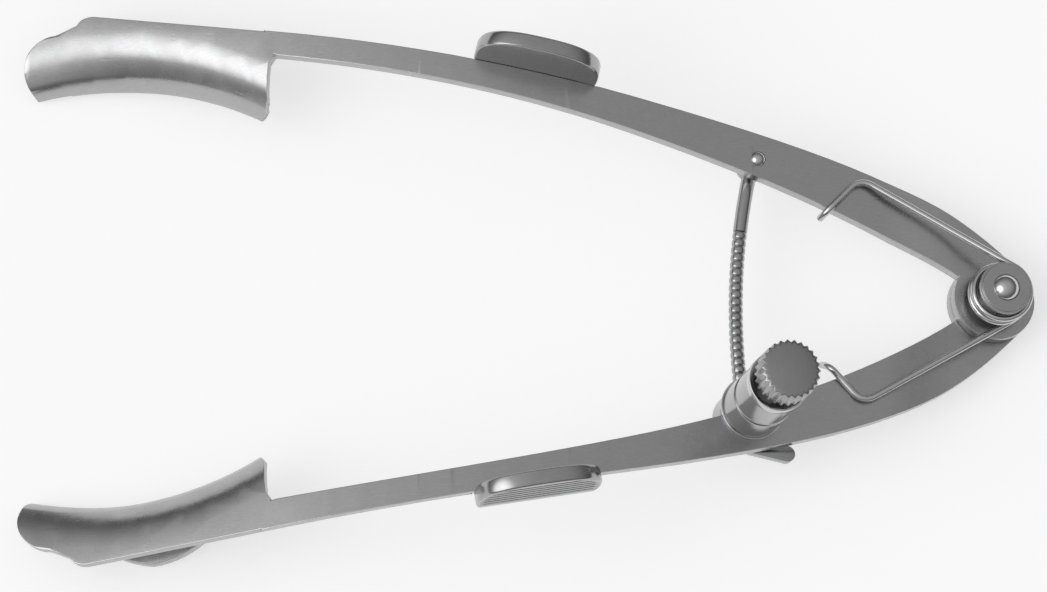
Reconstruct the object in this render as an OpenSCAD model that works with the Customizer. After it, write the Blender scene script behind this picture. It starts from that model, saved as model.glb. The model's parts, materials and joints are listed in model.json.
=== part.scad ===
// Self-retaining bivalve speculum for the eyelids, all in stainless steel, in millimetres.
// Two flat arms turn on a riveted pin and end in two rolled blades that hold the lids.
// A torsion spring opens them, and a curved ringed bar with a thumbscrew clamp holds the opening.
// The hinge axis stands at x = 0, y = 0, and the blades point towards -X.
// The finished instrument lies on the foot of its hinge pin and on its two blades.

/* [Arms] */
// Distance from the hinge axis to the blade tips, seen from above
reach = 75.6; // [60:0.1:95]
// Half the distance between the outer edges at the far end of the blades
half_spread = 22.9; // [18:0.1:27]
// Thickness of the arm plate
arm_thick = 1.1; // [0.9:0.05:1.5]
// Radius of the round knuckle at the hinge end of each arm
knuckle_r = 3.35; // [2.9:0.05:4.2]
// Angle at which the outer edge leaves the knuckle
arm_start_angle = 43.6; // [40:0.1:46]
// How much further the lower arm bows out than the mean of the two, and the upper arm less
arm_bow = 0.65; // [0:0.05:0.8]
// Length of the flat stretch from the hinge to the start of the bend
flat_length = 30; // [26:0.1:34]
// Length from the hinge to the root of the blade, seen from above
root_length = 57; // [52:0.1:62]
// Bending radius of the arch between the flat stretch and the blade
arch_r = 60; // [50:1:90]
// Rise or drop of each arm beside its knuckle, half the offset of the lapped joint
joggle_length = 3; // [2:0.1:5]

/* [Blades] */
// Thickness of the rolled blade plate
blade_thick = 0.9; // [0.6:0.05:1]
// Plan radius of the hollow curve of the rolled rim
rim_r = 26.8; // [23:0.1:33]
// Radius of the gentle bend that starts the roll
roll_lead_r = 6; // [4:0.1:8]
// Angle of the gentle bend
roll_lead_angle = 30; // [20:1:40]
// Radius of the tight bend under the rim, at mid thickness
roll_r = 1.3; // [1:0.05:1.6]
// Angle through which the plate has turned at the end of the roll
roll_end_angle = 168; // [150:1:175]
// Width of the lower flange beyond the roll
flange_w = 4.3; // [3:0.1:5]
// Radius of the free edge of the lower flange
flange_r = 8.5; // [7.8:0.1:9.2]
// Radius of the rounded lobe at the far end of the blade
lobe_r = 2.85; // [2.4:0.05:3.2]
// Radius of the corner between the blade's near end and its rim
corner_r = 1.8; // [0.8:0.1:2]

/* [Finger pads] */
// Length of each oval finger pad
pad_length = 10; // [8:0.1:12]
// Height of each pad from the underside of the arm
pad_height = 5.6; // [5:0.1:8]
// Thickness of each pad
pad_thick = 1.25; // [0.9:0.05:1.5]
// Outward lean of each pad
pad_lean = 3; // [0:0.5:10]
// Distance from the hinge to the middle of the pad, along the instrument
pad_place = 37.4; // [35:0.1:39]
// Number of lengthwise grooves in the finger face
pad_grooves = 6; // [4:1:7]
// Depth of each finger groove
pad_groove_depth = 0.24; // [0.1:0.02:0.4]

/* [Hinge] */
// Radius of the hinge pin's shank
pin_r = 0.95; // [0.8:0.05:1.2]
// Radial clearance of the pin in its holes
pin_clear = 0.03; // [0.01:0.01:0.08]
// Radius of the flat foot of the hinge pin
pin_foot_r = 2.1; // [1.8:0.1:2.6]
// Height of the flat foot of the hinge pin
pin_foot_h = 0.7; // [0.5:0.05:1]
// Radius of the domed head of the hinge pin
pin_dome_r = 1.12; // [1.1:0.02:1.5]
// Height of the domed head
pin_dome_h = 0.7; // [0.4:0.05:0.9]
// Radius of the cap washer over the spring
cap_r = 2.14; // [2:0.02:2.5]
// Thickness of the cap washer
cap_h = 0.5; // [0.4:0.05:0.8]
// Outer radius of the sleeve inside the spring
sleeve_r = 1.55; // [1.3:0.05:1.7]
// Height of the sleeve, which is the room for the coil
sleeve_h = 2.85; // [2.6:0.05:3.6]

/* [Spring] */
// Diameter of the spring wire
wire_d = 0.56; // [0.45:0.01:0.62]
// Mean radius of the coil
coil_r = 2.25; // [2.15:0.05:2.6]
// Whole turns of the coil, besides the part turn between the legs
coil_turns = 2; // [1:1:3]
// Distance from the hinge to the bend of each leg
leg_length = 14.4; // [12:0.1:16]
// Angle between each leg and the length of the instrument
leg_angle = 31.4; // [29:0.1:34]

/* [Lock bar] */
// Distance of the bar's pivot from the hinge axis
pivot_place_r = 21.95; // [21:0.05:23]
// Angle of the bar's pivot from the middle of the instrument
pivot_angle = 28.5; // [27.4:0.1:29]
// Diameter of the bar
bar_d = 1.1; // [0.9:0.05:1.3]
// Bending radius of the bar
bar_arc_r = 55; // [50:0.5:80]
// Depth of the bar's middle below the underside of the arms
bar_drop = 1.1; // [1:0.05:1.4]
// Distance from one ring of the bar to the next
ring_pitch = 0.62; // [0.5:0.01:0.9]
// Depth of the grooves between the rings
ring_depth = 0.13; // [0.05:0.01:0.2]
// Radius of the flat eye at the pivot end of the bar
bar_eye_r = 1.25; // [1:0.05:1.5]
// Thickness of the flattened ends of the bar
bar_flat = 0.8; // [0.6:0.05:1]
// Length of the flattened stop at the free end
stop_length = 3.6; // [3:0.1:4.5]
// Radius of the rivet's shank
rivet_r = 0.4; // [0.3:0.02:0.5]
// Radius of the rivet's two heads
rivet_head_r = 0.62; // [0.55:0.01:0.9]

/* [Clamp] */
// Distance of the clamp from the hinge axis
clamp_place_r = 22.5; // [21.5:0.05:23.5]
// Angle of the clamp from the middle of the instrument
clamp_angle = 27.2; // [26.6:0.1:28.2]
// Radius of the round eye under the arm
eye_r = 2.3; // [2.1:0.05:2.6]
// Height of the round eye under the arm
eye_h = 2.5; // [2.3:0.05:3.2]
// Radial clearance of the bar in the clamp's cross hole
bar_clear = 0.15; // [0.1:0.01:0.2]
// Radius of the neck that turns in the arm
neck_r = 1.1; // [1:0.05:1.3]
// Radius of the barrel on top of the arm
barrel_r = 2.45; // [2.2:0.05:2.6]
// Height of the barrel
barrel_h = 7.8; // [6:0.1:9]
// Thickness of the washer under the barrel
clamp_washer_h = 0.3; // [0.2:0.05:0.5]
// Height of the hollow cup at the top of the barrel
cup_h = 0.9; // [0.5:0.05:1.5]
// Wall of the cup
cup_wall = 0.3; // [0.2:0.05:0.4]
// Radius of the thumbscrew's head, to the tips of its teeth
knob_r = 2.45; // [2.2:0.05:3]
// Height of the thumbscrew's head
knob_h = 2.5; // [2:0.1:3.5]
// Gap between the barrel and the thumbscrew's head
knob_gap = 1.25; // [1:0.05:2]
// Number of teeth round the head
knob_teeth = 26; // [18:1:32]
// Depth of each tooth
tooth_depth = 0.24; // [0.1:0.02:0.35]
// Radius of the thumbscrew's shank
screw_r = 0.78; // [0.7:0.02:0.9]

/* [Hidden] */
$fn = 64;

cut = 0.5;
fit = 0.05;
satin = [0.72, 0.72, 0.73];
polished = [0.82, 0.82, 0.84];
dark_steel = [0.55, 0.55, 0.57];

// Curves of the plan outline, with x as shares of the reach and y as shares of the half spread.
// The two arms are bent by hand, so each curve takes the arm's own bow.
edge_steps = 28;
outer_lead = 0.159 * reach;
outer_start = knuckle_r * [sin(arm_start_angle), cos(arm_start_angle)];
outer_second = outer_start + outer_lead * [-cos(arm_start_angle), sin(arm_start_angle)];
outer_third_shares = [0.159, 0.565];
outer_end_shares = [0.944, 1];
inner_start_shares = [0.0384, 0.072];
inner_second_shares = [0.186, 0.385];
inner_third_shares = [0.415, 0.622];
inner_end_share = 0.799;

function plan(shares) = [-shares.x * reach, shares.y * half_spread];
function bezier(p, t) = pow(1 - t, 3) * p[0] + 3 * pow(1 - t, 2) * t * p[1]
  + 3 * (1 - t) * t * t * p[2] + t * t * t * p[3];
function outer_edge(bow) =
  let (curve = [outer_start, outer_second + [0, bow], plan(outer_third_shares) + [0, bow], plan(outer_end_shares)])
  [for (i = [0 : edge_steps]) bezier(curve, i / edge_steps)];
function inner_edge(bow) =
  let (curve = [plan(inner_start_shares), plan(inner_second_shares) + [0, bow],
    plan(inner_third_shares) + [0, bow], [-root_length, inner_end_share * half_spread]])
  [for (i = [0 : edge_steps]) bezier(curve, i / edge_steps)];

// Side view: the flat stretch, the arch and the straight blade, which slopes down
arch_steps = 12;
slope = asin((root_length - flat_length) / arch_r);
root_drop = arch_r * (1 - cos(slope));
lap = arm_thick / 2;
knuckle_margin = 0.35;
joggle_start = knuckle_r + knuckle_margin;
root_overlap = 0.8;
tall = 3 * half_spread;

function arch(t) = [-flat_length - arch_r * sin(t), -arch_r * (1 - cos(t))];
function plate_at(t) = arm_thick + (blade_thick - arm_thick) * t / slope;
function arch_top(t) = arch(t) + plate_at(t) * [-sin(t), cos(t)];
function edge_y(x, bow) = lookup(x, outer_edge(bow));
along_blade = [-cos(slope), -sin(slope)];

// The blade lies in its own plane: u runs along it from the root, w is its height above the lower face
blade_run = (reach - root_length) / cos(slope);
rim_crest_shares = [0.706, 0.755];
rim_centre = [-rim_crest_shares.x * blade_run, rim_crest_shares.y * half_spread - rim_r];
roll_steps = 12;
lead_steps = 3;
lead_drop = roll_lead_r * (1 - cos(roll_lead_angle));
rim_width = roll_lead_r * sin(roll_lead_angle) + roll_r * (1 - sin(roll_lead_angle)) + blade_thick / 2;
roll_start_r = rim_r + rim_width;
plate_end_r = norm([rim_centre.x, half_spread - rim_centre.y]) + cut;
roll_half_drop = lead_drop + roll_r * cos(roll_lead_angle) - blade_thick / 2;
flange_top = -lead_drop - roll_r * (cos(roll_lead_angle) - cos(roll_end_angle)) + blade_thick / 2;
flange_dip = flange_w * sin(roll_end_angle);
blade_depth = blade_thick / 2 - flange_top + flange_dip;
lobe_centre = [-blade_run + lobe_r, 0.808 * half_spread];
flange_centre = [0.475 * -blade_run, 0.59 * half_spread];

// A point of the rolled section on the side that lies off from the middle of the plate
function lead_point(a, off) = [roll_start_r - roll_lead_r * sin(a), blade_thick / 2 - roll_lead_r * (1 - cos(a))]
  + off * [-sin(a), cos(a)];
function roll_point(a, off) = lead_point(roll_lead_angle, 0)
  + roll_r * [sin(roll_lead_angle) - sin(a), cos(a) - cos(roll_lead_angle)] + off * [-sin(a), cos(a)];
function section_side(off) = concat(
  [for (i = [0 : lead_steps]) lead_point(roll_lead_angle * i / lead_steps, off)],
  [for (i = [1 : roll_steps])
    roll_point(roll_lead_angle + (roll_end_angle - roll_lead_angle) * i / roll_steps, off)],
  [roll_point(roll_end_angle, off) + flange_w * [-cos(roll_end_angle), -sin(roll_end_angle)]]);
function reversed(list) = [for (i = [len(list) - 1 : -1 : 0]) list[i]];
function arc(centre, r, from, to, steps) = [for (i = [0 : steps])
  centre + r * [cos(from + (to - from) * i / steps), sin(from + (to - from) * i / steps)]];

// Places of the bar's pivot on the upper arm and of the clamp on the lower arm
bar_pivot = pivot_place_r * [-cos(pivot_angle), sin(pivot_angle)];
clamp_place = clamp_place_r * [-cos(clamp_angle), -sin(clamp_angle)];
bar_chord = bar_pivot - clamp_place;
chord_tilt = -atan2(bar_chord.x, bar_chord.y);
bar_half_angle = asin(norm(bar_chord) / 2 / bar_arc_r);
bar_centre = (bar_pivot + clamp_place) / 2 + bar_arc_r * cos(bar_half_angle) * [cos(chord_tilt), sin(chord_tilt)];
clamp_ear_r = neck_r + 0.65 * arm_thick;
opening_play = 0.3;
stop_angle = bar_half_angle + (eye_r + opening_play) / bar_arc_r * 180 / PI;
eye_hole_r = bar_d / 2 + bar_clear;

// Heights of the hinge stack and of the clamp
foot_z = -lap - pin_foot_h;
stack_z = arm_thick + lap;
cap_z = stack_z + sleeve_h;
barrel_z = arm_thick + clamp_washer_h;
barrel_top = barrel_z + barrel_h;
knob_z = barrel_top + knob_gap;

// The instrument lies down: the foot of the pin and the rolled ends of the blades are level
low_shares = [0.84, 0.78];
low_u = flange_centre.x - low_shares.x * flange_r;
low_w = -low_shares.y * blade_depth;
low_point = [-root_length + low_u * cos(slope) - low_w * sin(slope),
  -root_drop + low_u * sin(slope) + low_w * cos(slope)];
lay_angle = atan2(foot_z - low_point.y, pin_foot_r - low_point.x);

module laid() {
  rotate([0, lay_angle, 0])
    translate([0, 0, -foot_z])
      children();
}

module in_blade() {
  translate([-root_length, 0, -root_drop])
    rotate([0, -slope, 0])
      children();
}

module tube(r, bore, h, z) {
  translate([0, 0, z])
    difference() {
      cylinder(r = r, h = h);
      translate([0, 0, -cut])
        cylinder(r = bore, h = h + 2 * cut);
    }
}

// A shallow dome on a flat face: the cap of a sphere with the given foot radius and height
module dome(r, h, z) {
  ball = (r * r + h * h) / (2 * h);
  translate([0, 0, z])
    intersection() {
      translate([0, 0, h - ball])
        sphere(r = ball);
      cylinder(r = r, h = h);
    }
}

// Arms
// Each arm is one pressed plate, made here on the +Y side and mirrored for the lower one.
module arm_side(rise) {
  start = -joggle_start - joggle_length;
  steps = [for (i = [0 : arch_steps]) slope * i / arch_steps];
  bottom = concat([[knuckle_r, rise], [-joggle_start, rise], [start, 0]], [for (t = steps) arch(t)],
    [arch(slope) + root_overlap * along_blade]);
  top = concat([[knuckle_r, rise + arm_thick], [-joggle_start, rise + arm_thick], [start, arm_thick]],
    [for (t = steps) arch_top(t)], [arch_top(slope) + root_overlap * along_blade]);
  translate([0, tall / 2, 0])
    rotate([90, 0, 0])
      linear_extrude(height = tall)
        polygon(concat(bottom, reversed(top)));
}

module arm_outline(bow) {
  translate([0, 0, -tall])
    linear_extrude(height = 2 * tall)
      polygon(concat(outer_edge(bow), reversed(inner_edge(bow)), [[0, 0]]));
}

module arm_plate(rise, bow) {
  difference() {
    union() {
      intersection() {
        arm_side(rise);
        arm_outline(bow);
      }
      translate([0, 0, rise])
        cylinder(r = knuckle_r, h = arm_thick);
      blade(bow);
    }
    translate([0, 0, -tall / 2])
      cylinder(r = pin_r + pin_clear, h = tall);
    pad_seat(bow);
  }
}

// The plan of the blade: outer edge, notch, round lobe, rim and the near end with its round corner
module blade_outline(bow) {
  far_edge = [for (p = outer_edge(bow)) if (p.x < -root_length) [(p.x + root_length) / cos(slope), p.y]];
  notch = [far_edge[len(far_edge) - 1].x - lobe_r / 12, lobe_centre.y + lobe_r * 1.25];
  near_x = -0.035 * blade_run;
  corner = [near_x - corner_r, lobe_centre.y - 1.02 * lobe_r];
  inside_y = rim_centre.y + rim_r / 2;
  polygon(concat([[0, edge_y(-root_length, bow)]], far_edge, [notch], arc(lobe_centre, lobe_r, 92, 218, 14),
    [[lobe_centre.x - lobe_r * 0.6, inside_y], [corner.x, inside_y]], arc(corner, corner_r, 270, 360, 5),
    [[-0.02 * blade_run, inner_end_share * half_spread - lobe_r / 5], [0, inner_end_share * half_spread]]));
}

// The round free edge of the flange, whose near end is cut back
module flange_edge(shift) {
  translate([flange_centre.x + shift, flange_centre.y, -roll_half_drop - 2 * blade_depth])
    cylinder(r = flange_r, h = 2 * blade_depth);
}

module blade(bow) {
  in_blade()
    intersection() {
      translate([rim_centre.x, rim_centre.y, 0])
        rotate_extrude($fn = 180)
          polygon(concat([[plate_end_r, blade_thick]], section_side(blade_thick / 2),
            reversed(section_side(-blade_thick / 2)), [[plate_end_r, 0]]));
      union() {
        translate([0, 0, -roll_half_drop])
          linear_extrude(height = roll_half_drop + blade_thick + cut)
            blade_outline(bow);
        intersection() {
          flange_edge(0);
          flange_edge(-flange_r / 5);
        }
      }
    }
}

module upper_arm() {
  color(satin)
    laid()
      difference() {
        arm_plate(lap, -arm_bow);
        translate([bar_pivot.x, bar_pivot.y, -cut])
          cylinder(r = rivet_r, h = arm_thick + 2 * cut);
      }
}

module lower_arm() {
  color(satin)
    laid()
      difference() {
        union() {
          mirror([0, 1, 0])
            arm_plate(-lap, arm_bow);
          translate([clamp_place.x, clamp_place.y, 0])
            cylinder(r = clamp_ear_r, h = arm_thick);
        }
        translate([clamp_place.x, clamp_place.y, -cut])
          cylinder(r = neck_r + fit, h = arm_thick + 2 * cut);
      }
}

// Finger pads
// Oval plates brazed to the outer edges of the arms, leaning out, with grooves for the fingers.
pad_seat_depth = 0.06;
pad_side_angle = asin((pad_place - flat_length) / arch_r);
pad_power = 2.6;
pad_waist_share = 0.3;
pad_steps = 12;
pad_land = pad_height / 13;

// The pad's own frame: X along the edge of the arm, Y out, Z up along the pad
module on_pad(bow) {
  far_y = edge_y(-pad_place - pad_length / 2, bow);
  near_y = edge_y(-pad_place + pad_length / 2, bow);
  seat_y = min((far_y + near_y) / 2, edge_y(-pad_place, bow)) - pad_seat_depth;
  translate([-pad_place, seat_y, -arch_r * (1 - cos(pad_side_angle))])
    rotate([0, -pad_side_angle, 0])
      rotate([0, 0, -atan2(far_y - near_y, pad_length)])
        rotate([-pad_lean, 0, 0])
          children();
}

function pad_x(z) = pad_length / 2
  * pow(max(0, 1 - pow(abs(z / pad_height - pad_waist_share) / (1 - pad_waist_share), pad_power)), 1 / pad_power);
pad_heights = [for (i = [0 : pad_steps]) pad_height * (1 - pow(1 - i / pad_steps, 1.8))];

module pad_seat(bow) {
  on_pad(bow)
    translate([-pad_length / 2, 0, -cut])
      cube([pad_length, pad_thick + cut, arm_thick + 2 * cut]);
}

module finger_pad(bow) {
  pitch = (pad_height - 2 * pad_land) / pad_grooves;
  grooves = [for (i = [0 : pad_grooves - 1]) each [[pad_thick, pad_land + i * pitch],
    [pad_thick - pad_groove_depth, pad_land + (i + 0.5) * pitch]]];
  on_pad(bow)
    intersection() {
      rotate([90, 0, 0])
        translate([0, 0, -pad_thick])
          linear_extrude(height = pad_thick)
            polygon(concat([for (z = pad_heights) [pad_x(z), z]], [for (z = reversed(pad_heights)) [-pad_x(z), z]]));
      rotate([90, 0, 90])
        translate([0, 0, -pad_length])
          linear_extrude(height = 2 * pad_length)
            polygon(concat([[0, 0], [pad_thick, 0]], grooves, [[pad_thick, pad_height - pad_land],
              [pad_thick, pad_height], [0, pad_height]]));
    }
}

module upper_finger_pad() {
  color(satin)
    laid()
      finger_pad(-arm_bow);
}

module lower_finger_pad() {
  color(satin)
    laid()
      mirror([0, 1, 0])
        finger_pad(arm_bow);
}

// Hinge
// The pin is riveted: a flat foot under the arms, a shank, and a dome over the cap washer.
module hinge_pin() {
  color(polished)
    laid() {
      translate([0, 0, foot_z])
        cylinder(r = pin_foot_r, h = pin_foot_h);
      translate([0, 0, foot_z])
        cylinder(r = pin_r, h = cap_z + cap_h - foot_z + pin_dome_h / 3);
      dome(pin_dome_r, pin_dome_h, cap_z + cap_h);
    }
}

module spring_sleeve() {
  color(dark_steel)
    laid()
      tube(sleeve_r, pin_r + pin_clear, sleeve_h, stack_z);
}

module cap_washer() {
  cap_step = cap_h / 3;
  color(satin)
    laid()
      difference() {
        union() {
          translate([0, 0, cap_z])
            cylinder(r = cap_r, h = cap_h - cap_step);
          translate([0, 0, cap_z])
            cylinder(r = cap_r - cap_step, h = cap_h);
        }
        translate([0, 0, cap_z - cut])
          cylinder(r = pin_r + pin_clear, h = cap_h + 2 * cut);
      }
}

// Spring
// One wire: a hook over the inner edge of each arm, a straight leg on the arm, and the coil.
wire_r = wire_d / 2;
leg_bend = sqrt(leg_length * leg_length - coil_r * coil_r);
hook_angle = 78;
hook_reach = 7 * wire_d;
bend_round = 2.2 * wire_d;
over_round = 1.3 * wire_d;
leg_z = arm_thick + wire_r + fit;
coil_low = stack_z + wire_r + fit;
coil_high = cap_z - wire_r - fit;
coil_span = 360 * coil_turns + 180 - 2 * leg_angle;
coil_start = leg_angle - 90;
coil_steps = 24;
coil_count = ceil(coil_span / 360 * coil_steps);

function flat_dir(a) = [cos(a), sin(a), 0];
function coil_point(i) = coil_r * flat_dir(coil_start + coil_span * i / coil_count)
  + [0, 0, coil_low + (coil_high - coil_low) * i / coil_count];
function rounded(a, b, c, r) = [for (t = [0 : 0.25 : 1])
  let (p = b + (a - b) / norm(a - b) * r, q = b + (c - b) / norm(c - b) * r)
  (1 - t) * (1 - t) * p + 2 * t * (1 - t) * b + t * t * q];
// From the hook's tip to where the leg meets the coil, for the leg on the given side. The lower
// arm's leg leaves the coil level, so that it clears the upper knuckle.
function leg_points(side, meet) =
  let (along = 180 - side * leg_angle, across = along + side * hook_angle,
    bend = [meet.x, meet.y, leg_z] + leg_bend * flat_dir(along),
    over = bend + hook_reach * flat_dir(across),
    tip = over + wire_d * flat_dir(across) - [0, 0, arm_thick],
    leave = meet + (side < 0 ? [bend.x - meet.x, bend.y - meet.y, 0] / 5 : (bend - meet) / 8))
  concat([tip], rounded(tip, over, bend, over_round), rounded(over, bend, meet, bend_round), [leave]);
spring_points = concat(leg_points(-1, coil_point(0)), [for (i = [0 : coil_count]) coil_point(i)],
  reversed(leg_points(1, coil_point(coil_count))));

module swept_wire(points, r, sides) {
  last = len(points) - 1;
  tangents = [for (i = [0 : last]) points[min(i + 1, last)] - points[max(i - 1, 0)]];
  rings = [for (i = [0 : last])
    let (t = tangents[i] / norm(tangents[i]), n = cross(t, [0, 0, 1]) / norm(cross(t, [0, 0, 1])),
      b = cross(t, n))
    for (k = [0 : sides - 1]) points[i] + r * (cos(360 * k / sides) * n + sin(360 * k / sides) * b)];
  walls = [for (i = [0 : last - 1], k = [0 : sides - 1]) let (n = (k + 1) % sides)
    each [[i * sides + k, (i + 1) * sides + k, (i + 1) * sides + n],
      [i * sides + k, (i + 1) * sides + n, i * sides + n]]];
  ends = [[for (k = [0 : sides - 1]) k], [for (k = [sides - 1 : -1 : 0]) last * sides + k]];
  polyhedron(points = rings, faces = concat(walls, ends));
}

module torsion_spring() {
  color(polished)
    laid()
      swept_wire(spring_points, wire_r, 8);
}

// Lock bar
// A round bar bent to an arc, with a flat eye at the pivot, rings along its grip and a flat stop.
module on_bar(angle) {
  translate([bar_centre.x, bar_centre.y, -bar_drop])
    rotate([0, 0, 180 + chord_tilt + angle])
      translate([bar_arc_r, 0, 0])
        children();
}

ring_step = ring_pitch / bar_arc_r * 180 / PI;
ring_start_share = 0.27;
eye_end_angle = 0.88 * bar_eye_r / bar_arc_r * 180 / PI;
stop_turn = 70;
stop_r = 0.6 * bar_d;

module bar_arc(r, from, to) {
  translate([bar_centre.x, bar_centre.y, -bar_drop])
    rotate([0, 0, 180 + chord_tilt + from])
      rotate_extrude(angle = to - from)
        translate([bar_arc_r, 0])
          circle(r = r, $fn = 32);
}

module lock_bar() {
  smooth_end = bar_half_angle * (2 * ring_start_share - 1);
  color(satin)
    laid() {
      bar_arc(bar_d / 2 - ring_depth, smooth_end - ring_step, stop_angle);
      bar_arc(bar_d / 2, eye_end_angle - bar_half_angle, smooth_end);
      for (a = [smooth_end + 0.7 * ring_step : ring_step : stop_angle - ring_step])
        bar_arc(bar_d / 2, a - 0.3 * ring_step, a + 0.3 * ring_step);
      on_bar(-bar_half_angle)
        tube(bar_eye_r, rivet_r + fit, bar_flat, -bar_flat / 2);
      on_bar(stop_angle)
        rotate([0, 0, 90 + stop_turn])
          translate([0, 0, -bar_flat / 2])
            linear_extrude(height = bar_flat)
              polygon(concat(arc([0, 0], bar_d * 0.5, 80, 280, 12),
                arc([stop_length - stop_r, 0], stop_r, -80, 80, 12)));
    }
}

module at_pivot() {
  laid()
    translate([bar_pivot.x, bar_pivot.y, 0])
      children();
}

rivet_head_h = 0.55 * rivet_head_r;

module bar_spacer() {
  spacer_h = bar_drop - bar_flat / 2;
  color(dark_steel)
    at_pivot()
      tube(bar_eye_r * 0.8, rivet_r + fit, spacer_h, -spacer_h);
}

module bar_rivet() {
  below = bar_drop + bar_flat / 2;
  color(polished)
    at_pivot() {
      translate([0, 0, -below - rivet_head_h])
        cylinder(r = rivet_head_r, h = rivet_head_h);
      translate([0, 0, -below - rivet_head_h / 2])
        cylinder(r = rivet_r, h = below + arm_thick + rivet_head_h);
      dome(rivet_head_r, rivet_head_h, arm_thick);
    }
}

// Clamp
// The eye hangs under the arm on its neck, and the barrel on top holds the thumbscrew, whose pin
// presses the bar against the floor of the eye's cross hole.
neck_socket = 1.5 * neck_r;
lock_pin_r = 0.6 * neck_r;
pin_tip_z = -bar_drop + bar_d / 2 + fit;
stem_low = barrel_z + neck_socket + knob_gap / 4;

module at_clamp() {
  laid()
    translate([clamp_place.x, clamp_place.y, 0])
      children();
}

module clamp_eye() {
  color(satin)
    difference() {
      at_clamp() {
        translate([0, 0, -eye_h])
          cylinder(r = eye_r, h = eye_h);
        translate([0, 0, -eye_h / 2])
          cylinder(r = neck_r, h = eye_h / 2 + barrel_z + neck_socket);
      }
      laid()
        on_bar(bar_half_angle)
          rotate([90, 0, 0])
            translate([0, 0, -eye_r - cut])
              cylinder(r = eye_hole_r, h = 2 * (eye_r + cut));
      at_clamp()
        translate([0, 0, -bar_drop])
          cylinder(r = lock_pin_r + pin_clear, h = tall);
    }
}

module clamp_washer() {
  color(polished)
    at_clamp()
      tube(barrel_r + clamp_washer_h / 2, neck_r + fit, clamp_washer_h, arm_thick);
}

module clamp_barrel() {
  solid_h = barrel_h - cup_h;
  waist_z = 0.42 * barrel_h;
  groove = cup_wall / 2;
  color(satin)
    at_clamp()
      difference() {
        translate([0, 0, barrel_z])
          rotate_extrude()
            polygon([[0, 0], [barrel_r - groove, 0], [barrel_r, groove], [barrel_r, waist_z - groove],
              [barrel_r - groove, waist_z], [barrel_r - groove, waist_z + groove],
              [barrel_r - groove / 2, waist_z + 2 * groove], [barrel_r - groove / 2, solid_h], [0, solid_h]]);
        translate([0, 0, barrel_z - cut])
          cylinder(r = neck_r, h = neck_socket + cut);
        translate([0, 0, barrel_z])
          cylinder(r = screw_r + pin_clear, h = tall);
      }
}

module clamp_ring() {
  color(polished)
    at_clamp()
      tube(barrel_r, barrel_r - cup_wall, cup_h, barrel_top - cup_h);
}

module lock_pin() {
  color(dark_steel)
    at_clamp()
      translate([0, 0, pin_tip_z])
        cylinder(r = lock_pin_r, h = stem_low - pin_tip_z);
}

module screw_stem() {
  color(polished)
    at_clamp()
      translate([0, 0, stem_low])
        cylinder(r = screw_r, h = knob_z + knob_h / 2 - stem_low);
}

module thumbscrew_head() {
  half_tooth = 180 / knob_teeth;
  bevel = tooth_depth / 2;
  color(satin)
    at_clamp()
      difference() {
        intersection() {
          translate([0, 0, knob_z])
            linear_extrude(height = knob_h)
              polygon([for (i = [0 : knob_teeth - 1]) each [
                knob_r * [cos(2 * i * half_tooth), sin(2 * i * half_tooth)],
                (knob_r - tooth_depth) * [cos((2 * i + 1) * half_tooth), sin((2 * i + 1) * half_tooth)]]]);
          translate([0, 0, knob_z])
            rotate_extrude()
              polygon([[0, 0], [knob_r - bevel, 0], [knob_r + bevel, 2 * bevel],
                [knob_r + bevel, knob_h - 2 * bevel], [knob_r - bevel, knob_h], [0, knob_h]]);
        }
        translate([0, 0, knob_z - cut])
          cylinder(r = screw_r, h = knob_h / 2 + cut);
      }
}

lower_arm();
upper_arm();
lower_finger_pad();
upper_finger_pad();
hinge_pin();
spring_sleeve();
cap_washer();
torsion_spring();
lock_bar();
bar_spacer();
bar_rivet();
clamp_eye();
clamp_washer();
clamp_barrel();
clamp_ring();
lock_pin();
screw_stem();
thumbscrew_head();
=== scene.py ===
# A self-retaining bivalve speculum for the eyelids, in satin and polished stainless steel.
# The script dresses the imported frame: it follows the instrument as it is put together.
import json
import math

import bmesh
import bpy
from mathutils import Matrix, Vector
from mathutils.bvhtree import BVHTree


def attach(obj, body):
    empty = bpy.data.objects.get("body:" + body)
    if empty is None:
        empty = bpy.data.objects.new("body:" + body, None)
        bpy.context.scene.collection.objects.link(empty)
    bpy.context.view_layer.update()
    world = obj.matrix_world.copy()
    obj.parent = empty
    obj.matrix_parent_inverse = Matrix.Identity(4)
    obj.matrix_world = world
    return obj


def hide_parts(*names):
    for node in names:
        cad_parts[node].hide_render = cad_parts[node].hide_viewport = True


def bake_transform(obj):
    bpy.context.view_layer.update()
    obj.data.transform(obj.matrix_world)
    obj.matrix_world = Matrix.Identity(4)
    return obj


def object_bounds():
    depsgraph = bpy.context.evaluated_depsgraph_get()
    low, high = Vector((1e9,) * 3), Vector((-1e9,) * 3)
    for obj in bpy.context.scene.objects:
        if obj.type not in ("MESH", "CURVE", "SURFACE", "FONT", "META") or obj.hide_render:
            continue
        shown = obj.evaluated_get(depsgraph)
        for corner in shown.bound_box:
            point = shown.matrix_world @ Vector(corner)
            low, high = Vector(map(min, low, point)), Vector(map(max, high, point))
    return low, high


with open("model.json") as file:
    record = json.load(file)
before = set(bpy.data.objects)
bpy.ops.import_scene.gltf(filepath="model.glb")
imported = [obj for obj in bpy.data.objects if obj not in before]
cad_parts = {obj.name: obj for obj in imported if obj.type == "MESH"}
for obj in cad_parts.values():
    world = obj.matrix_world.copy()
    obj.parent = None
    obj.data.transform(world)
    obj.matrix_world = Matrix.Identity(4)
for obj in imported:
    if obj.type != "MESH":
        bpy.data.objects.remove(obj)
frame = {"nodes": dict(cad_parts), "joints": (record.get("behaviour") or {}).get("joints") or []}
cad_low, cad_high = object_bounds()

MM = 0.001

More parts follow.
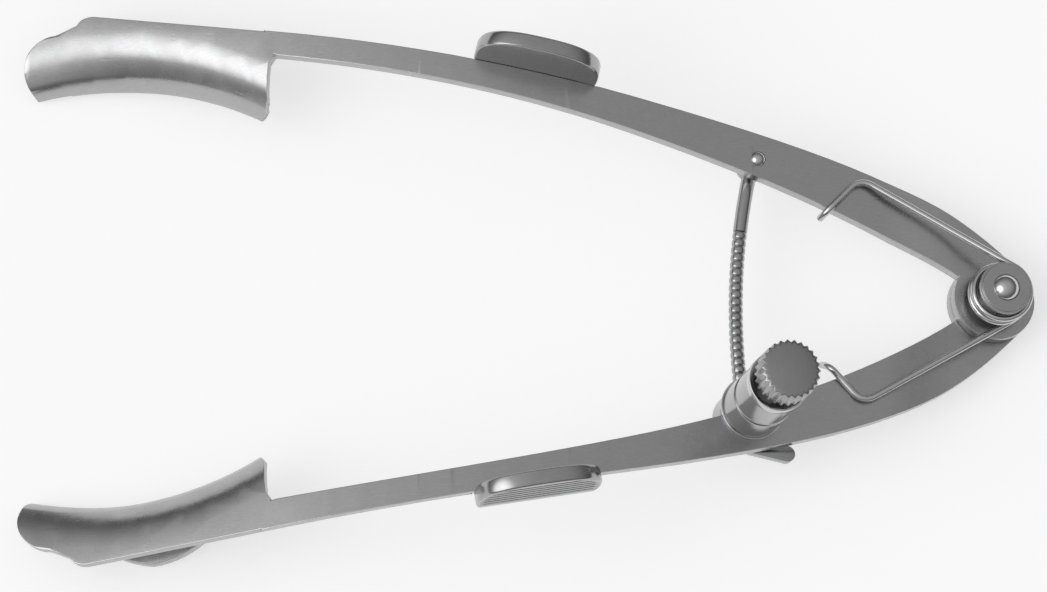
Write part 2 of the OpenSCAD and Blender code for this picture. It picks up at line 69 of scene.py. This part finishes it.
# Camera
# The photograph looks down on the instrument along the hinge axis, a little from the blades' side
# and from below. Its angles are counted from the hinge axis, which leans on the lying instrument.
hinge = next(j for j in frame["joints"] if j["name"] == "arm_hinge")
hinge_axis = Vector(hinge["axis"]).normalized()
lean = math.atan2(hinge_axis.x, hinge_axis.z)
laid = Matrix.Rotation(lean, 3, "Y")
foot_rise = 1.25
image_wide = 1047
photo_scale = 0.08
lens_wide = 36
view_distance = 700
view_near, view_far = 14, 14000
view_roll = math.radians(0.1)
view_tilt = math.radians(-16.7)
view_lean = math.radians(14)
view_turn = Matrix.Rotation(view_roll, 3, "Z") @ Matrix.Rotation(view_tilt, 3, "X")
view_turn = view_turn @ Matrix.Rotation(view_lean, 3, "Y")
view_shift = Vector((37.2, -0.7, 0))


def laid_point(x, y, z):
    """A point of the upright instrument, in millimetres, on the one that lies on the table."""
    return laid @ Vector((x, y, z + foot_rise)) * MM


camera_data = bpy.data.cameras.new("photo_camera")
camera = bpy.data.objects.new("photo_camera", camera_data)
bpy.context.scene.collection.objects.link(camera)
camera_data.sensor_width = lens_wide
camera_data.lens = lens_wide * view_distance / (image_wide * photo_scale)
camera_data.clip_start = view_near * MM
camera_data.clip_end = view_far * MM
seen_from = view_turn.transposed() @ (Vector((0, 0, view_distance)) - view_shift)
camera_place = laid_point(*seen_from)
camera.matrix_world = Matrix.Translation(camera_place) @ (laid @ view_turn.transposed()).to_4x4()
bpy.context.scene.camera = camera

# Studio
# A white sweep of paper under a soft grey room, with one broad window of light high over the
# blades. The room darkens towards the table, which gives the steel its dark edges.
bpy.context.scene.view_settings.view_transform = "Standard"
window_side = Vector((-0.68, -0.22, 0.7)).normalized()
window_edge, window_core = math.radians(32), math.radians(8)
window_tone = 2.2
glow_edge, glow_core = math.radians(66), math.radians(18)
glow_tone = 0.28
room_low = 0.12
room_high = 0.62
paper_half = 4
paper_gap = 0.02
paper_tone = 0.6
paper_glow = 0.56


def shader_tree(owner):
    owner.use_nodes = True
    owner.node_tree.nodes.clear()
    return owner.node_tree


def add(tree, kind, **values):
    node = tree.nodes.new(kind)
    for name, value in values.items():
        if hasattr(node, name):
            setattr(node, name, value)
        else:
            node.inputs[name.replace("_", " ")].default_value = value
    return node


def ramp(tree, source, starts, ends, low=0, high=1, kind="LINEAR"):
    """The source's value carried from the range of starts to ends over to that of low to high."""
    node = add(tree, "ShaderNodeMapRange", interpolation_type=kind)
    for name, value in zip(("From Min", "From Max", "To Min", "To Max"), (starts, ends, low, high)):
        node.inputs[name].default_value = value
    tree.links.new(source, node.inputs["Value"])
    return node.outputs[0]


def together(tree, operation, first, second):
    node = add(tree, "ShaderNodeMath", operation=operation)
    tree.links.new(first, node.inputs[0])
    tree.links.new(second, node.inputs[1])
    return node.outputs[0]


world = bpy.data.worlds.new("studio")
bpy.context.scene.world = world
tree = shader_tree(world)
link = tree.links.new
direction = add(tree, "ShaderNodeTexCoord")
facing = add(tree, "ShaderNodeVectorMath", operation="DOT_PRODUCT")
facing.inputs[1].default_value = window_side
height = add(tree, "ShaderNodeSeparateXYZ")
link(direction.outputs["Generated"], facing.inputs[0])
link(direction.outputs["Generated"], height.inputs[0])
toward = facing.outputs["Value"]
window = ramp(tree, toward, math.cos(window_edge), math.cos(window_core), 0, window_tone, "SMOOTHSTEP")
around = ramp(tree, toward, math.cos(glow_edge), math.cos(glow_core), 0, glow_tone, "SMOOTHSTEP")
room = ramp(tree, height.outputs["Z"], 0, 1, room_low, room_high, "SMOOTHSTEP")
sky = add(tree, "ShaderNodeBackground")
out = add(tree, "ShaderNodeOutputWorld")
link(together(tree, "ADD", together(tree, "ADD", window, around), room), sky.inputs["Strength"])
link(sky.outputs[0], out.inputs["Surface"])

floor_mesh = bpy.data.meshes.new("floor")
floor = bpy.data.objects.new("floor", floor_mesh)
bpy.context.scene.collection.objects.link(floor)
bm = bmesh.new()
bmesh.ops.create_grid(bm, x_segments=1, y_segments=1, size=paper_half)
bmesh.ops.translate(bm, verts=bm.verts, vec=(0, 0, min(0, cad_low.z) - paper_gap * MM))
bm.to_mesh(floor_mesh)
bm.free()
paper = bpy.data.materials.new("white_paper")
tree = shader_tree(paper)
link = tree.links.new
matt = add(tree, "ShaderNodeBsdfDiffuse", Color=(paper_tone, paper_tone, paper_tone, 1))
shine = add(tree, "ShaderNodeEmission", Color=(1, 1, 1, 1), Strength=paper_glow)
both = add(tree, "ShaderNodeAddShader")
seen = add(tree, "ShaderNodeLightPath").outputs
mirrored = together(tree, "MAXIMUM", seen["Is Camera Ray"], seen["Is Glossy Ray"])
looked_at = together(tree, "MAXIMUM", mirrored, seen["Is Transmission Ray"])
choose = add(tree, "ShaderNodeMixShader")
out = add(tree, "ShaderNodeOutputMaterial")
link(matt.outputs[0], both.inputs[0])
link(shine.outputs[0], both.inputs[1])
link(looked_at, choose.inputs[0])
link(matt.outputs[0], choose.inputs[1])
link(both.outputs[0], choose.inputs[2])
link(choose.outputs[0], out.inputs["Surface"])
floor_mesh.materials.append(paper)

# Arms
# Two plates pressed from stainless sheet, joggled at the knuckle so that they lap, and rolled at
# the far end into the blades. They are satin-brushed along their length after the edges are broken.
grain_detail = 5
grain_rough = 0.65
patch_scale = 600
patch_detail = 3
patch_low, patch_high = 0.3, 0.7
scratch_scale = (300, 2600, 2600)
scratch_turn = 0.35
scratch_detail = 2
scratch_low, scratch_high = 0.66, 0.72
mark_depth = 0.01


def steel(name, tone, rough, grain, depth, mottle):
    """Bare stainless steel with the marks of its finishing: grain is the number of lines per metre
    along each axis, depth that of the lines, and mottle the share by which the gloss wanders."""
    material = bpy.data.materials.new(name)
    tree = shader_tree(material)
    link = tree.links.new
    place = add(tree, "ShaderNodeTexCoord").outputs["Object"]
    along = add(tree, "ShaderNodeMapping", Scale=grain)
    lines = add(tree, "ShaderNodeTexNoise", Scale=1, Detail=grain_detail, Roughness=grain_rough)
    patches = add(tree, "ShaderNodeTexNoise", Scale=patch_scale, Detail=patch_detail)
    across = add(tree, "ShaderNodeMapping", Scale=scratch_scale, Rotation=(0, 0, scratch_turn))
    scratches = add(tree, "ShaderNodeTexNoise", Scale=1, Detail=scratch_detail)
    shade = add(tree, "ShaderNodeMix", data_type="RGBA")
    shade.inputs[6].default_value = [c * (1 - mottle) for c in tone] + [1]
    shade.inputs[7].default_value = [min(1, c * (1 + mottle)) for c in tone] + [1]
    relief = add(tree, "ShaderNodeBump", Strength=depth, Distance=mark_depth * MM)
    body = add(tree, "ShaderNodeBsdfPrincipled", Metallic=1)
    out = add(tree, "ShaderNodeOutputMaterial")
    link(place, along.inputs["Vector"])
    link(place, patches.inputs["Vector"])
    link(place, across.inputs["Vector"])
    link(along.outputs[0], lines.inputs["Vector"])
    link(across.outputs[0], scratches.inputs["Vector"])
    scored = ramp(tree, scratches.outputs["Fac"], scratch_low, scratch_high)
    gloss = ramp(tree, patches.outputs["Fac"], patch_low, patch_high, rough * (1 - mottle),
        rough * (1 + mottle))
    link(lines.outputs["Fac"], shade.inputs[0])
    link(shade.outputs[2], body.inputs["Base Color"])
    link(gloss, body.inputs["Roughness"])
    link(together(tree, "SUBTRACT", lines.outputs["Fac"], scored), relief.inputs["Height"])
    link(relief.outputs[0], body.inputs["Normal"])
    link(body.outputs[0], out.inputs["Surface"])
    return material


def even_shading(piece, weight=50):
    even = piece.modifiers.new("even_shading", "WEIGHTED_NORMAL")
    even.keep_sharp = True
    even.weight = weight


node_merge = 0.002
node_flatness = math.radians(0.4)
node_sharp = math.radians(32)
node_weight = 60


def finish_node(name, material, edge):
    """Gives a CAD piece its steel, clean flat faces and rounded edges, the edge in millimetres."""
    piece = frame["nodes"][name]
    piece.data.materials.clear()
    piece.data.materials.append(material)
    piece.data.polygons.foreach_set("use_smooth", [True] * len(piece.data.polygons))
    weld = piece.modifiers.new("weld", "WELD")
    weld.merge_threshold = node_merge * MM
    flat = piece.modifiers.new("flat_faces", "DECIMATE")
    flat.decimate_type = "DISSOLVE"
    flat.angle_limit = node_flatness
    broken = piece.modifiers.new("broken_edges", "BEVEL")
    broken.limit_method = "ANGLE"
    broken.angle_limit = node_sharp
    broken.width = edge * MM
    broken.segments = 3
    broken.profile = 0.5
    broken.use_clamp_overlap = True
    even_shading(piece, node_weight)


def piece_from(bm, name, material, smooth=35):
    """A finished mesh piece with its place in its mesh, rounded faces smooth and edges crisp."""
    for face in bm.faces:
        face.smooth = True
    for edge in bm.edges:
        edge.smooth = not edge.is_manifold or edge.calc_face_angle(0) < math.radians(smooth)
    mesh = bpy.data.meshes.new(name)
    bm.to_mesh(mesh)
    bm.free()
    mesh.materials.append(material)
    piece = bpy.data.objects.new(name, mesh)
    bpy.context.scene.collection.objects.link(piece)
    return piece


def upright(point):
    """The other way round from laid_point."""
    return laid.transposed() @ point / MM - Vector((0, 0, foot_rise))


def eased(share):
    share = max(0, min(1, share))
    return share * share * (3 - 2 * share)


def deeper_roll(point):
    """How far the plate sinks at the rim of the blade, where the roll has a wide mandrel."""
    from_root = point - blade_root
    u, w = from_root.dot(blade_along), from_root.dot(blade_up)
    if u > 0:
        return 0
    away = math.hypot(u - rim_centre[0], abs(point.y) - rim_centre[1])
    inward = max(0, min(1, (roll_start - away) / (roll_start - rim_radius)))
    tip = 1 - tip_fade * eased((-u - tip_start) / tip_length)
    depth = eased((w - roll_floor) / (roll_full - roll_floor))
    return roll_sink * tip * inward ** roll_power * depth


def round_far_corner(bm):
    """The outer corner at the blade's far end is filed round before the edges are broken."""
    outermost, corner = 0, None
    for edge in bm.edges:
        a, b = (upright(vert.co) - blade_root for vert in edge.verts)
        if max(a.dot(blade_along), b.dot(blade_along)) > -corner_zone or not edge.is_manifold:
            continue
        upwards = abs((b - a).normalized().dot(blade_up)) > nearly_upwards
        if upwards and edge.calc_face_angle(0) > arm_sharp and abs(a.y) > outermost:
            outermost, corner = abs(a.y), edge
    bmesh.ops.bevel(bm, geom=[corner], offset=corner_round * MM, offset_type="OFFSET",
        affect="EDGES", segments=corner_steps, profile=0.5, material=-1)


def pressed_arm(node, name, body, rise):
    """The pressed plate with its bends cut into short strips, so that they shade as bends do, with
    its edges broken all round and its joggle drawn out into a soft bend."""
    bm = bmesh.new()
    bm.from_mesh(frame["nodes"][node].data)
    bmesh.ops.remove_doubles(bm, verts=bm.verts, dist=merge_within * MM)
    bmesh.ops.dissolve_limit(bm, angle_limit=flatness, verts=bm.verts, edges=bm.edges)
    bmesh.ops.dissolve_degenerate(bm, dist=shortest_edge * MM, edges=bm.edges)
    round_far_corner(bm)
    arm_strips = int((root_length + knuckle_length) / strip_length)
    cuts = [knuckle_length - i * strip_length for i in range(arm_strips)]
    cuts += [-root_length - (i + 1) * blade_strip for i in range(int(blade_reach / blade_strip))]
    for cut in cuts:
        bmesh.ops.bisect_plane(bm, geom=bm.verts[:] + bm.edges[:] + bm.faces[:],
            dist=cut_snap * MM, plane_co=laid_point(cut, 0, 0), plane_no=laid @ Vector((1, 0, 0)))
    plate = BVHTree.FromBMesh(bm)
    sharp = [e for e in bm.edges if e.is_manifold and e.calc_face_angle(0) > arm_sharp]
    bmesh.ops.bevel(bm, geom=sharp, offset=arm_edge * MM, offset_type="OFFSET", affect="EDGES",
        segments=2, profile=0.5, material=-1, clamp_overlap=False)
    for vert in bm.verts:
        nearest, _, _, away = plate.find_nearest(vert.co)
        if away > arm_edge * MM * stray_share:
            vert.co = nearest
    bmesh.ops.remove_doubles(bm, verts=bm.verts, dist=merge_within * MM)
    for vert in bm.verts:
        x = upright(vert.co).x
        drawn = eased((x - soft_joggle[0]) / (soft_joggle[1] - soft_joggle[0]))
        straight = max(0, min(1, (x - joggle[0]) / (joggle[1] - joggle[0])))
        vert.co += laid @ Vector((0, 0, rise * (drawn - straight) * MM))
        vert.co -= laid @ blade_up * deeper_roll(upright(vert.co)) * MM
        if x > soft_joggle[0] and abs(upright(vert.co).z - lap) < merge_within:
            vert.co += laid @ Vector((0, 0, math.copysign(lap_play, rise) * MM))
    piece = piece_from(bm, name, satin, 40)
    even_shading(piece)
    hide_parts(node)
    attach(piece, body)


satin = steel("satin_steel", (0.44, 0.44, 0.445), 0.27, (1100, 9000, 9000), 0.3, 0.15)
merge_within = 0.004
flatness = math.radians(0.5)
strip_length = 0.61
blade_strip = 2.3
cut_snap = 0.13
shortest_edge = 0.05
root_length = 57
blade_reach = 19
blade_slope = math.radians(26.744)
blade_root = Vector((-root_length, 0, -6.42))
blade_along = Vector((math.cos(blade_slope), 0, math.sin(blade_slope)))
blade_up = Vector((-math.sin(blade_slope), 0, math.cos(blade_slope)))
rim_centre = (-14.7, -9.51)
rim_radius = 26.8
roll_power = 2.6
roll_start = 31
roll_sink = 1.3
roll_floor = -3.2
roll_full = -1
tip_start = 12
tip_length = 8
tip_fade = 0.6
corner_zone = 10
corner_round = 1.3
corner_steps = 7
nearly_upwards = 0.98
joggle = (-6.7, -3.7)
soft_joggle = (-9.2, -3.3)
lap = 0.55
lap_play = 0.015
knuckle_length = 3.3
arm_edge = 0.08
arm_sharp = math.radians(38)
stray_share = 0.6
pressed_arm("lower_arm", "lower_arm_plate", "lower_half", -lap)
pressed_arm("upper_arm", "upper_arm_plate", "upper_half", lap)

# Finger pads
# Oval plates brazed on edge to the arms, with rounded rims. Their outer faces have six grooves
# milled along them for grip, which run out short of the rim.
buffed = steel("buffed_steel", (0.4, 0.4, 0.405), 0.19, (1400, 5000, 5000), 0.12, 0.12)
pad_length = 10
pad_height = 5.6
pad_thick = 1.25
pad_waist_share = 0.3
pad_power = 2.6
groove_count = 6
groove_depth = 0.42
groove_margin = 0.5
groove_end, groove_fade = 0.15, 0.5
pad_outer_round = 0.24
pad_inner_round = 0.14
pad_columns, pad_rows = 64, 96
row_power = 1.5
top_share = 0.9996


def pad_half_length(z):
    """Half the pad's length at a height above its foot."""
    share = abs(z / pad_height - pad_waist_share) / (1 - pad_waist_share)
    return pad_length / 2 * max(0, 1 - share ** pad_power) ** (1 / pad_power)


def rim_distance(x, z):
    """How far a point of the pad's face lies from its oval rim."""
    tall = (z / pad_height - pad_waist_share) / (1 - pad_waist_share)
    level = (abs(2 * x / pad_length) ** pad_power + abs(tall) ** pad_power) ** (1 / pad_power)
    return math.hypot(x, z - pad_waist_share * pad_height) * (1 / max(level, 0.01) - 1)


def rounded_rim(distance, radius):
    """How far a rounded edge falls back at a distance in from the rim."""
    inside = max(0, radius - max(0, distance))
    return radius - math.sqrt(max(0, radius * radius - inside * inside))


def groove(z, distance):
    pitch = (pad_height - 2 * groove_margin) / groove_count
    turn = (z - groove_margin) / pitch
    if not 0 < turn < groove_count:
        return 0
    valley = 1 - abs(math.sin(math.pi * (turn + 0.5)))
    return groove_depth * valley * eased((distance - groove_end) / groove_fade)


def seat_of_pad(node):
    """The pad's own axes, read off its flat inner face: the foot's middle, along, out and up."""
    bm = bmesh.new()
    bm.from_mesh(frame["nodes"][node].data)
    bmesh.ops.remove_doubles(bm, verts=bm.verts, dist=merge_within * MM)
    bmesh.ops.dissolve_limit(bm, angle_limit=flatness, verts=bm.verts, edges=bm.edges)
    inner = max(bm.faces, key=lambda face: face.calc_area())
    foot = max(inner.edges, key=lambda edge: edge.calc_length())
    a, b = (v.co.copy() for v in foot.verts)
    out = -inner.normal.copy()
    bm.free()
    along = (b - a).normalized() * (1 if b.x > a.x else -1)
    up = along.cross(out)
    up *= 1 if up.z > 0 else -1
    return (a + b) / 2, along, out, up


def finger_pad(node, name, body):
    middle, along, out, up = seat_of_pad(node)
    bm = bmesh.new()
    bmesh.ops.create_grid(bm, x_segments=pad_columns, y_segments=pad_rows, size=1)
    inner = bmesh.ops.duplicate(bm, geom=bm.verts[:] + bm.edges[:] + bm.faces[:])["geom"]
    inner_verts = {v for v in inner if isinstance(v, bmesh.types.BMVert)}
    bmesh.ops.reverse_faces(bm, faces=[f for f in inner if isinstance(f, bmesh.types.BMFace)])
    for vert in bm.verts:
        share = (vert.co.x + math.sin(vert.co.x * math.pi / 2)) / 2
        rise = (vert.co.y + 1) / 2
        z = pad_height * top_share * (1 - (1 - rise) ** row_power)
        x = share * pad_half_length(z)
        distance = rim_distance(x, z)
        if vert in inner_verts:
            y = rounded_rim(distance, pad_inner_round)
        else:
            y = pad_thick - rounded_rim(distance, pad_outer_round) - groove(z, distance)
        vert.co = middle + (x * along + y * out + z * up) * MM
    bmesh.ops.bridge_loops(bm, edges=[e for e in bm.edges if e.is_boundary])
    bmesh.ops.recalc_face_normals(bm, faces=bm.faces)
    piece = piece_from(bm, name, buffed, 50)
    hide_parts(node)
    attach(piece, body)


finger_pad("lower_finger_pad", "lower_pad_plate", "lower_half")
finger_pad("upper_finger_pad", "upper_pad_plate", "upper_half")

# Hinge
# A turned pin riveted over a cap washer; the sleeve keeps the spring's coil clear of the pin.
# The pin's foot and dome are polished, and the sleeve is left as it was turned.
polished = steel("polished_steel", (0.58, 0.58, 0.585), 0.16, (3000, 3000, 3000), 0.06, 0.12)
turned = steel("turned_steel", (0.36, 0.36, 0.365), 0.26, (700, 700, 9000), 0.2, 0.1)
finish_node("hinge_pin", polished, 0.06)
finish_node("spring_sleeve", turned, 0.05)
finish_node("cap_washer", satin, 0.05)

# Torsion spring
# One drawn and polished wire: it hooks over the inner edge of each arm, runs straight along the
# arm and winds two and a third times round the hinge, and its push opens the blades.
wire_r = 0.28
coil_r = 2.25
coil_low, coil_high = 1.98, 4.17
leg_angle = math.radians(31.4)
leg_length = 14.4
leg_height = 1.43
hook_angle = math.radians(78)
hook_reach = 3.92
hook_drop = 1.1
coil_span = math.radians(837.2)
coil_start = leg_angle - math.pi / 2
coil_steps = 110
bend_round = 1.23
over_round = 0.75
leave_round = 0.6
near_share = 0.3
lower_leave, upper_leave = 5, 8


def flat_way(angle):
    return Vector((math.cos(angle), math.sin(angle), 0))


def coil_point(i):
    rise = coil_low + (coil_high - coil_low) * i / coil_steps
    return coil_r * flat_way(coil_start + coil_span * i / coil_steps) + Vector((0, 0, rise))


def rounded_corner(a, b, c, r, steps=10):
    p, q = b + (a - b).normalized() * r, b + (c - b).normalized() * r
    ts = [i / steps for i in range(steps + 1)]
    return [(1 - t) ** 2 * p + 2 * t * (1 - t) * b + t * t * q for t in ts]


def leg_line(side, meet):
    """The wire's line from the tip of a hook along its leg to where it meets the coil."""
    along = math.pi - side * leg_angle
    across = along + side * hook_angle
    straight = math.sqrt(leg_length ** 2 - coil_r ** 2)
    bend = Vector((meet.x, meet.y, leg_height)) + straight * flat_way(along)
    over = bend + hook_reach * flat_way(across)
    tip = over + 2 * wire_r * flat_way(across) - Vector((0, 0, hook_drop))
    leave = meet + (bend - meet) / upper_leave
    if side < 0:
        leave = meet + Vector((bend.x - meet.x, bend.y - meet.y, 0)) / lower_leave
    near = meet + (leave - meet) * near_share
    hook = [tip] + rounded_corner(tip, over, bend, over_round)
    leg = rounded_corner(over, bend, leave, bend_round)
    return hook + leg + rounded_corner(bend, leave, near, leave_round)


def swept_steel(name, points, radii):
    """A drawn wire or rod along a line of points, as a mesh with flat closed ends."""
    curve = bpy.data.curves.new(name, "CURVE")
    curve.dimensions = "3D"
    curve.bevel_depth = MM
    curve.bevel_resolution = 4
    curve.use_fill_caps = True
    spline = curve.splines.new("POLY")
    spline.points.add(len(points) - 1)
    for knot, at, radius in zip(spline.points, points, radii):
        knot.co = (*laid_point(*at), 1)
        knot.radius = radius
    line = bpy.data.objects.new(name, curve)
    bpy.context.scene.collection.objects.link(line)
    bpy.context.view_layer.update()
    drawn = line.evaluated_get(bpy.context.evaluated_depsgraph_get())
    mesh = bpy.data.meshes.new_from_object(drawn)
    bpy.data.objects.remove(line)
    bm = bmesh.new()
    bm.from_mesh(mesh)
    bmesh.ops.remove_doubles(bm, verts=bm.verts, dist=merge_within / 2 * MM)
    bmesh.ops.recalc_face_normals(bm, faces=bm.faces)
    return bm


wire_line = leg_line(-1, coil_point(0)) + [coil_point(i) for i in range(coil_steps + 1)]
wire_line += list(reversed(leg_line(1, coil_point(coil_steps))))
bm = swept_steel("spring_wire_coil", wire_line, [wire_r] * len(wire_line))
spring = piece_from(bm, "spring_wire_coil", polished, 50)
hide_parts("torsion_spring")
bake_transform(spring)

# Lock bar
# A round rod bent to an arc, ringed by turning so that the pressure pin can't slip, and flattened
# at its two ends: an eye on the rivet and a stop that can't pass the clamp.
ground = steel("ground_steel", (0.4, 0.4, 0.405), 0.17, (900, 900, 900), 0.08, 0.12)
bar_pivot = 21.95 * flat_way(math.pi - math.radians(28.5))
clamp_place = 22.5 * flat_way(math.pi + math.radians(27.2))
bar_radius = 0.57
bar_bend = 55
bar_level = -1.1
bar_eye = 1.25
rivet_hole = 0.45
bar_flat = 0.77
ring_pitch = 0.62
ring_depth = 0.11
ring_share = 0.27
ring_steps = 8
ring_power = 5
eye_share = 0.85
smooth_steps = 9
stop_length = 3.6
stop_radius = 0.66
eye_sides, stop_sides = 48, 32
clamp_play = 2.6
stop_turn = math.radians(160)
bar_edge = 0.07
chord = bar_pivot - clamp_place
chord_turn = math.pi - math.atan2(chord.x, chord.y)
half_bend = math.asin(chord.length / 2 / bar_bend)
bar_middle = (bar_pivot + clamp_place) / 2 - bar_bend * math.cos(half_bend) * flat_way(chord_turn)


def on_bar(length):
    """A point of the bar's middle line, its length counted from the middle of the rivet."""
    angle = chord_turn - half_bend + length / bar_bend
    return bar_middle + bar_bend * flat_way(angle) + Vector((0, 0, bar_level))


def raised(bm, tall):
    """Draws flat faces up into a solid."""
    wall = bmesh.ops.extrude_face_region(bm, geom=bm.faces[:])["geom"]
    top_verts = [v for v in wall if isinstance(v, bmesh.types.BMVert)]
    bmesh.ops.translate(bm, verts=top_verts, vec=(0, 0, tall))
    bmesh.ops.recalc_face_normals(bm, faces=bm.faces)


def broken_edges(bm, edge, angle):
    sharp = [e for e in bm.edges if e.calc_face_angle(0) > angle]
    bmesh.ops.bevel(bm, geom=sharp, offset=edge, affect="EDGES", segments=2, profile=0.5, material=-1)


def set_in_place(bm, place, turn=0):
    for vert in bm.verts:
        vert.co = laid_point(*(Matrix.Rotation(turn, 3, "Z") @ vert.co + place))


bar_length = 2 * half_bend * bar_bend + clamp_play
smooth_start = bar_eye * eye_share
smooth_end = 2 * half_bend * bar_bend * ring_share
knots = []
for i in range(smooth_steps + 1):
    knots.append((smooth_start + (smooth_end - smooth_start) * i / smooth_steps, bar_radius))
for i in range(int((bar_length - smooth_end) / ring_pitch) * ring_steps + 1):
    share = abs(2 * (i % ring_steps) / ring_steps - 1)
    length = smooth_end + (i + 0.5) * ring_pitch / ring_steps
    knots.append((length, bar_radius - ring_depth * share ** ring_power))
bm = swept_steel("ringed_rod", [on_bar(length) for length, _ in knots], [radius for _, radius in knots])
rod = piece_from(bm, "ringed_rod", ground, 60)
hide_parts("lock_bar")
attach(rod, "bar")

bm = bmesh.new()
for radius in (bar_eye, rivet_hole):
    bmesh.ops.create_circle(bm, segments=eye_sides, radius=radius)
bmesh.ops.bridge_loops(bm, edges=bm.edges[:])
raised(bm, bar_flat)
broken_edges(bm, bar_edge, 1)
set_in_place(bm, bar_pivot + Vector((0, 0, bar_level - bar_flat / 2)))
eye = piece_from(bm, "bar_end_eye", ground)
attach(eye, "bar")

bm = bmesh.new()
for at, radius in ((0, bar_radius), (stop_length - stop_radius, stop_radius)):
    bmesh.ops.create_cone(bm, cap_ends=True, segments=stop_sides, radius1=radius,
        radius2=radius, depth=bar_flat, matrix=Matrix.Translation((at, 0, 0)))
hull = bmesh.ops.convex_hull(bm, input=bm.verts[:])
loose = hull["geom_interior"] + hull["geom_unused"]
inside = {v for v in loose if isinstance(v, bmesh.types.BMVert)}
bmesh.ops.delete(bm, geom=list(inside), context="VERTS")
skin = set(hull["geom"])
bmesh.ops.delete(bm, geom=[f for f in bm.faces if f not in skin], context="FACES_ONLY")
bmesh.ops.dissolve_limit(bm, angle_limit=math.radians(1), verts=bm.verts, edges=bm.edges)
bmesh.ops.recalc_face_normals(bm, faces=bm.faces)
broken_edges(bm, bar_edge, 1)
end_turn = chord_turn - half_bend + bar_length / bar_bend
set_in_place(bm, on_bar(bar_length), end_turn + stop_turn)
stop = piece_from(bm, "bar_end_stop", ground)
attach(stop, "bar")

finish_node("bar_spacer", turned, 0.04)
finish_node("bar_rivet", polished, 0.05)

# Clamp
# The eye turns in the lower arm on its neck. A barrel and its bright ring sit on top and hold the
# thumbscrew, whose pin presses on the bar.
turned_satin = steel("turned_satin_steel", (0.4, 0.4, 0.405), 0.2, (900, 900, 9000), 0.1, 0.08)
finish_node("clamp_eye", satin, 0.08)
finish_node("clamp_washer", polished, 0.05)
finish_node("clamp_barrel", turned_satin, 0.06)
finish_node("clamp_ring", polished, 0.06)
finish_node("lock_pin", turned, 0.05)
finish_node("screw_stem", turned, 0.05)

head_low = 10.45
head_tall = 2.5
head_radius = 2.44
tooth_count = 26
tooth_depth = 0.26
head_dome = 0.3
head_insets = (0.35, 0.5, 0.6, 0.6)
head_edge = 0.07
head_sharp = 0.5
bm = bmesh.new()
bmesh.ops.create_circle(bm, segments=2 * tooth_count, radius=head_radius, cap_ends=True)
for vert in bm.verts:
    if round(math.atan2(vert.co.y, vert.co.x) / math.pi * tooth_count) % 2:
        vert.co *= (head_radius - tooth_depth) / head_radius
raised(bm, head_tall - head_dome)
top = max(bm.faces, key=lambda face: face.calc_center_median().z)
for inset in head_insets:
    bmesh.ops.inset_region(bm, faces=[top], thickness=inset)
broken_edges(bm, head_edge, head_sharp)
for vert in bm.verts:
    if vert.co.z > head_tall - head_dome - MM:
        vert.co.z += head_dome * (1 - min(1, vert.co.to_2d().length / head_radius) ** 2)
set_in_place(bm, clamp_place + Vector((0, 0, head_low)))
head = piece_from(bm, "knurled_head", turned, 30)
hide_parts("thumbscrew_head")
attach(head, "screw")

thread_low = 8.45
thread_pitch = 0.4
thread_turns = 5
thread_root = 0.77
thread_crest = 0.92
thread_steps = 28
bm = bmesh.new()
for radius, rise in ((thread_root, 0), (thread_crest, 0.5), (thread_root, 1)):
    bmesh.ops.create_vert(bm, co=(radius, 0, rise * thread_pitch))
bm.verts.ensure_lookup_table()
for a, b in ((0, 1), (1, 2)):
    bm.edges.new((bm.verts[a], bm.verts[b]))
bmesh.ops.spin(bm, geom=bm.verts[:] + bm.edges[:], cent=(0, 0, 0), axis=(0, 0, 1),
    angle=math.tau * thread_turns, steps=thread_steps * thread_turns,
    dvec=(0, 0, thread_pitch / thread_steps), use_merge=False)
bmesh.ops.remove_doubles(bm, verts=bm.verts, dist=merge_within)
bmesh.ops.holes_fill(bm, edges=[e for e in bm.edges if e.is_boundary])
bmesh.ops.recalc_face_normals(bm, faces=bm.faces)
set_in_place(bm, clamp_place + Vector((0, 0, thread_low)))
thread = piece_from(bm, "screw_thread", turned, 50)
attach(thread, "screw")
